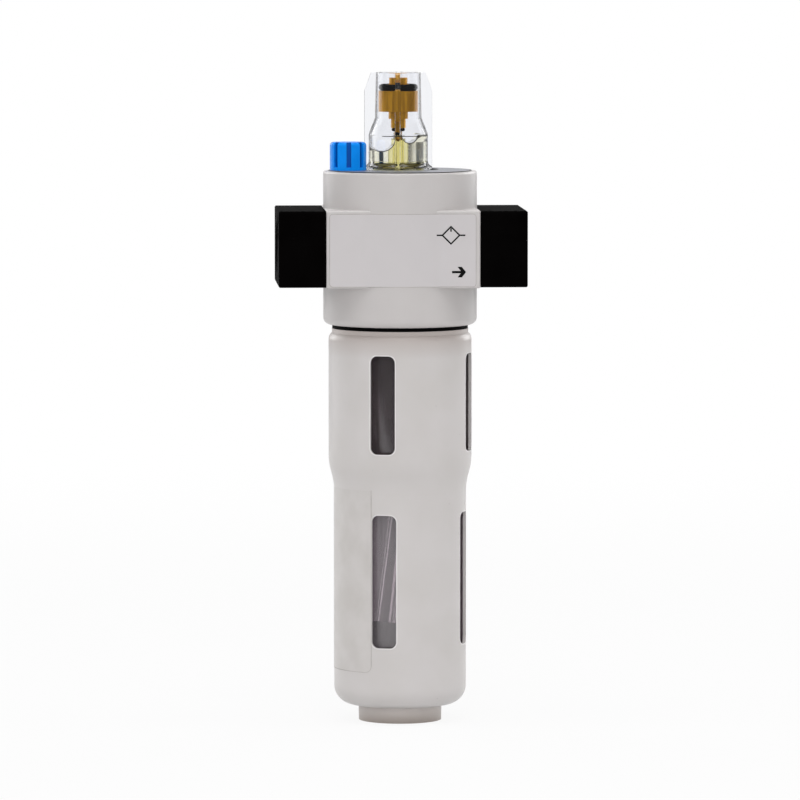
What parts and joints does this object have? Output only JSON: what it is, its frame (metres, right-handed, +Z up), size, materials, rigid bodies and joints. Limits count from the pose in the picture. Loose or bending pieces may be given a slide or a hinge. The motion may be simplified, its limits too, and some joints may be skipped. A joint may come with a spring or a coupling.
{
  "type": "air line lubricator",
  "caption": "In-line compressed air lubricator with a square die-cast head, clear winged sight dome, blue filler plug and a slotted metal bowl guard over a clear oil bowl.",
  "frame": {"origin": "middle of the bowl's flat foot, on the surface that the part stands on", "axes": "+Z up along the bowl, +X the way the air flows out of the outlet port, the label side of the head faces -Y"},
  "size_m": [0.0632, 0.0394, 0.1663],
  "materials": {
    "painted_head": "light grey paint on die-cast metal, satin",
    "painted_guard": "light grey paint on drawn sheet, satin",
    "cover": "polished",
    "black_plate": "black anodised, satin",
    "clear_plastic": "clear, polished",
    "bowl_plastic": "clear, polished",
    "hose_plastic": "clear, soft",
    "blue_plastic": "moulded, semi-gloss",
    "black_plastic": "moulded",
    "white_plastic": "moulded",
    "black_rubber": "moulded rubber",
    "brass": "turned",
    "screw_steel": "zinc plated",
    "sintered_filter": "sintered, rough"
  },
  "bodies": {
    "head": {"head_casting": "painted_head", "top_cover_plate": "cover", "dome_foot_ring": "black_rubber", "sight_dome": "clear_plastic", "dome_o_ring": "black_rubber", "drip_cup": "clear_plastic", "inlet_plate": "black_plate", "outlet_plate": "black_plate", "inlet_plate_screws": "screw_steel", "outlet_plate_screws": "screw_steel", "inlet_seal": "black_rubber", "outlet_seal": "black_rubber", "venturi_insert": "white_plastic", "flow_damper": "black_rubber", "bowl_o_ring": "black_rubber", "lift_fitting": "brass", "suction_hose": "hose_plastic", "siphon_filter": "sintered_filter"},
    "needle_rings": {"adjusting_screw_o_ring": "black_rubber", "needle_o_ring": "black_rubber"},
    "needle": {"adjusting_screw": "brass"},
    "plug_ring": {"filler_plug_o_ring": "black_rubber"},
    "plug": {"filler_plug": "blue_plastic"},
    "bowl": {"bowl": "bowl_plastic"},
    "guard": {"bowl_guard": "painted_guard", "guard_thread_ring": "black_plastic", "guard_gap_ring": "black_rubber"},
    "ball": {"check_ball": "screw_steel"}
  },
  "joints": [
    {"name": "needle_lift", "type": "slide", "parent": "head", "child": "needle_rings", "axis": [0, 0, 1], "range_m": [0, 0.00112]},
    {"name": "needle_turn", "type": "hinge", "parent": "needle_rings", "child": "needle", "pos_m": [-0.0002, 0.005, 0.16], "axis": [0, 0, 1], "range_deg": [0, 811]},
    {"name": "plug_lift", "type": "slide", "parent": "head", "child": "plug_ring", "axis": [0, 0, 1], "range_m": [0, 0.0065]},
    {"name": "plug_turn", "type": "hinge", "parent": "plug_ring", "child": "plug", "pos_m": [-0.01338, -0.002, 0.145], "axis": [0, 0, 1], "range_deg": [0, 2342]},
    {"name": "bowl_drop", "type": "slide", "parent": "head", "child": "bowl", "axis": [0, 0, -1], "range_m": [0, 0.0051]},
    {"name": "guard_turn", "type": "hinge", "parent": "bowl", "child": "guard", "pos_m": [0, 0, 0.05], "axis": [0, 0, -1], "range_deg": [0, 1225]},
    {"name": "ball_lift", "type": "slide", "parent": "head", "child": "ball", "axis": [0, 0, 1], "range_m": [0, 0.0005]}
  ],
  "couplings": [
    {"joint": "needle_turn", "follows": "needle_lift", "rad_per_m": 12566},
    {"joint": "plug_turn", "follows": "plug_lift", "rad_per_m": 6283.2},
    {"joint": "guard_turn", "follows": "bowl_drop", "rad_per_m": 4188.8}
  ]
}
